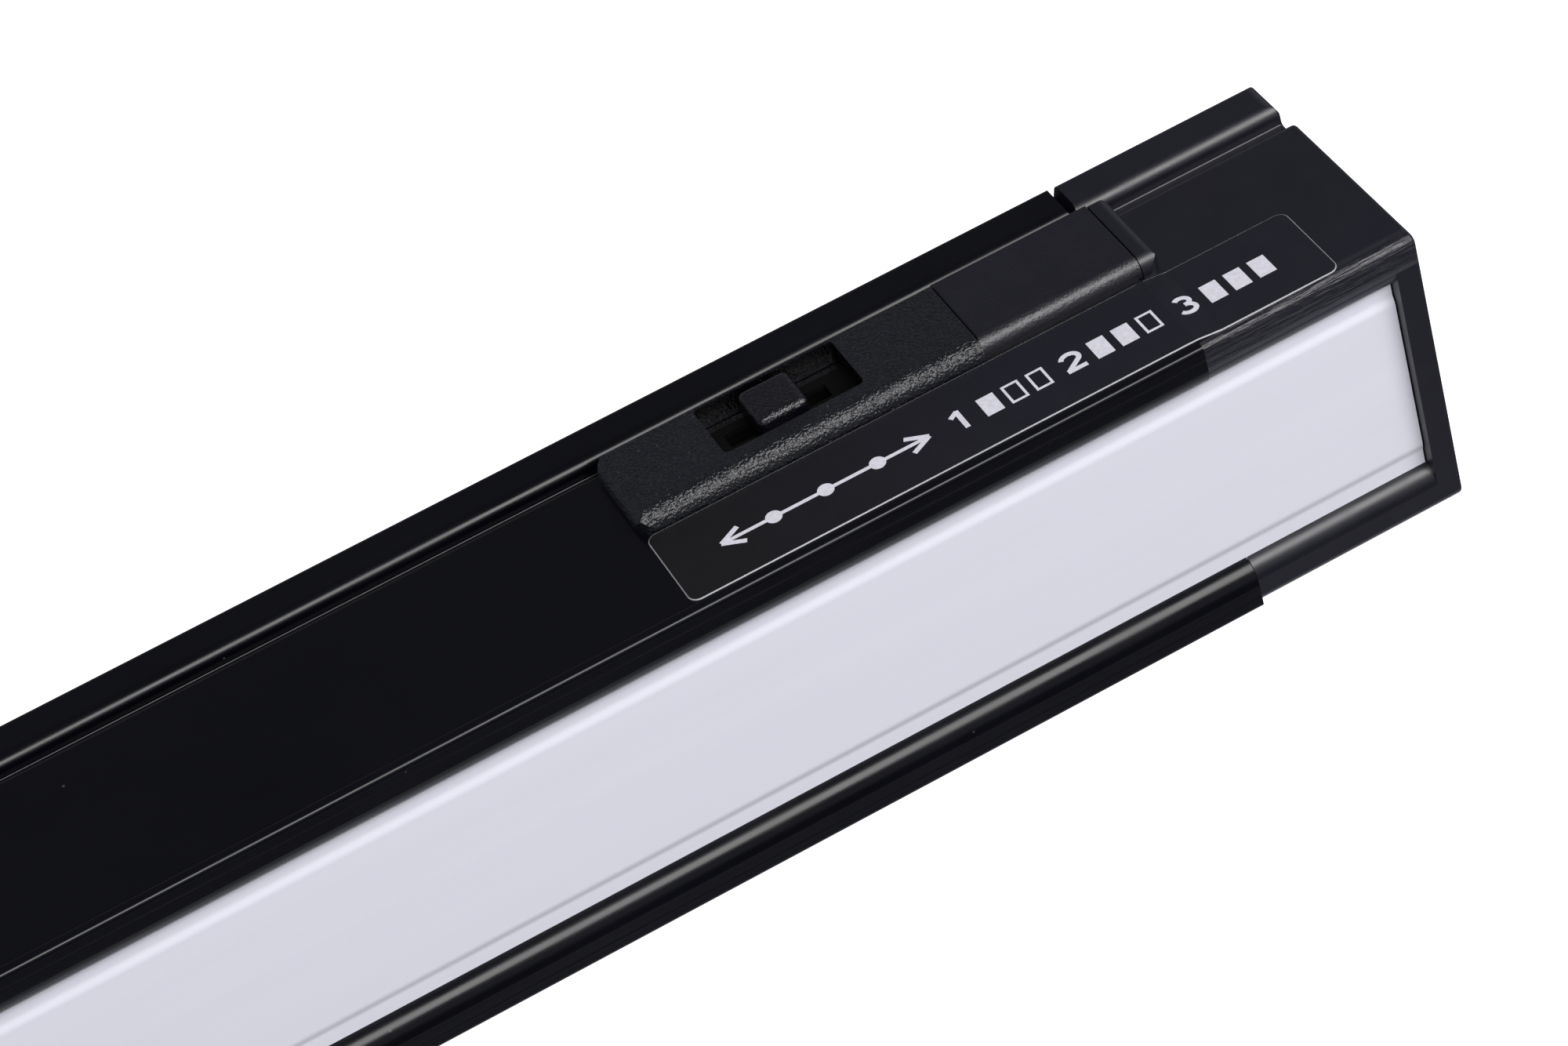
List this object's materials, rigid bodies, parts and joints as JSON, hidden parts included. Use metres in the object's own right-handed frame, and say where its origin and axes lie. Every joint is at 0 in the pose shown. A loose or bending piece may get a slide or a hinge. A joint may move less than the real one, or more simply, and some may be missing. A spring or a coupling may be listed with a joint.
{
  "type": "linear LED batten luminaire",
  "caption": "Black linear LED batten with an opal diffuser, screwed end caps, a boxed slide switch beside a label strip, and a grommeted cable entry at the far end.",
  "frame": {"origin": "middle of the flat mounting back, halfway along the batten and halfway across it", "axes": "+X along the batten towards the switch end, +Y out of the mounting back (the light leaves towards -Y), +Z out of the side face that carries the switch"},
  "size_m": [0.6015, 0.037, 0.0451],
  "materials": {
    "housing_black": "satin black powder coat",
    "cap_black": "fine matt moulding",
    "block_black": "spark-eroded grain",
    "cover_black": "smooth matt moulding",
    "knob_black": "smooth moulding",
    "diffuser_opal": "opal extrusion",
    "label_black": "matt laminated tape",
    "screw_steel": "zinc plated",
    "contact_brass": "plain",
    "switch_shell": "moulded",
    "board_green": "solder mask",
    "led_board_white": "white solder mask",
    "led_warm": "warm phosphor",
    "led_cool": "cool phosphor",
    "connector_white": "natural nylon",
    "rubber_black": "plain",
    "tray_white": "moulded",
    "fuse_ceramic": "glazed",
    "varistor_blue": "dipped epoxy",
    "ferrite_grey": "sintered",
    "chip_black": "moulded epoxy",
    "capacitor_sleeve": "shrink sleeve",
    "lead_grey": "PVC insulation",
    "lead_green": "PVC insulation",
    "lead_red": "PVC insulation"
  },
  "bodies": {
    "batten": {"cable_clamp": "cap_black", "cable_clamp_screws": "screw_steel", "cable_grommet": "rubber_black", "diffuser": "diffuser_opal", "driver_board": "board_green", "driver_choke": "ferrite_grey", "driver_controller": "chip_black", "driver_fuse": "fuse_ceramic", "driver_input_capacitor": "capacitor_sleeve", "driver_output_capacitors": "capacitor_sleeve", "driver_rectifier": "chip_black", "driver_screws": "screw_steel", "driver_selector_chip": "chip_black", "driver_transformer": "ferrite_grey", "driver_transistor": "chip_black", "driver_tray": "tray_white", "driver_varistor": "varistor_blue", "earth_lead": "lead_green", "earth_screw": "screw_steel", "earth_tag": "contact_brass", "end_cap_screws": "screw_steel", "end_cap_supply_end": "cap_black", "end_cap_switch_end": "cap_black", "housing_profile": "housing_black", "label": "label_black", "lead_bush": "rubber_black", "led_board": "led_board_white", "led_board_screws": "screw_steel", "led_connector": "connector_white", "led_leads": "lead_red", "leds_cool": "led_cool", "leds_warm": "led_warm", "raceway_cover": "cover_black", "supply_leads": "lead_grey", "switch_board": "board_green", "switch_board_screws": "screw_steel", "switch_body": "switch_shell", "switch_housing": "block_black", "switch_leads": "lead_grey", "switch_terminals": "contact_brass", "terminal_block": "connector_white", "terminal_screws": "screw_steel"},
    "switch_slider": {"switch_knob": "knob_black", "switch_contact_bridge": "contact_brass"}
  },
  "joints": [
    {"name": "switch_slide", "type": "slide", "parent": "batten", "child": "switch_slider", "axis": [1, 0, 0], "range_m": [-0.0048, 0.0048]}
  ]
}
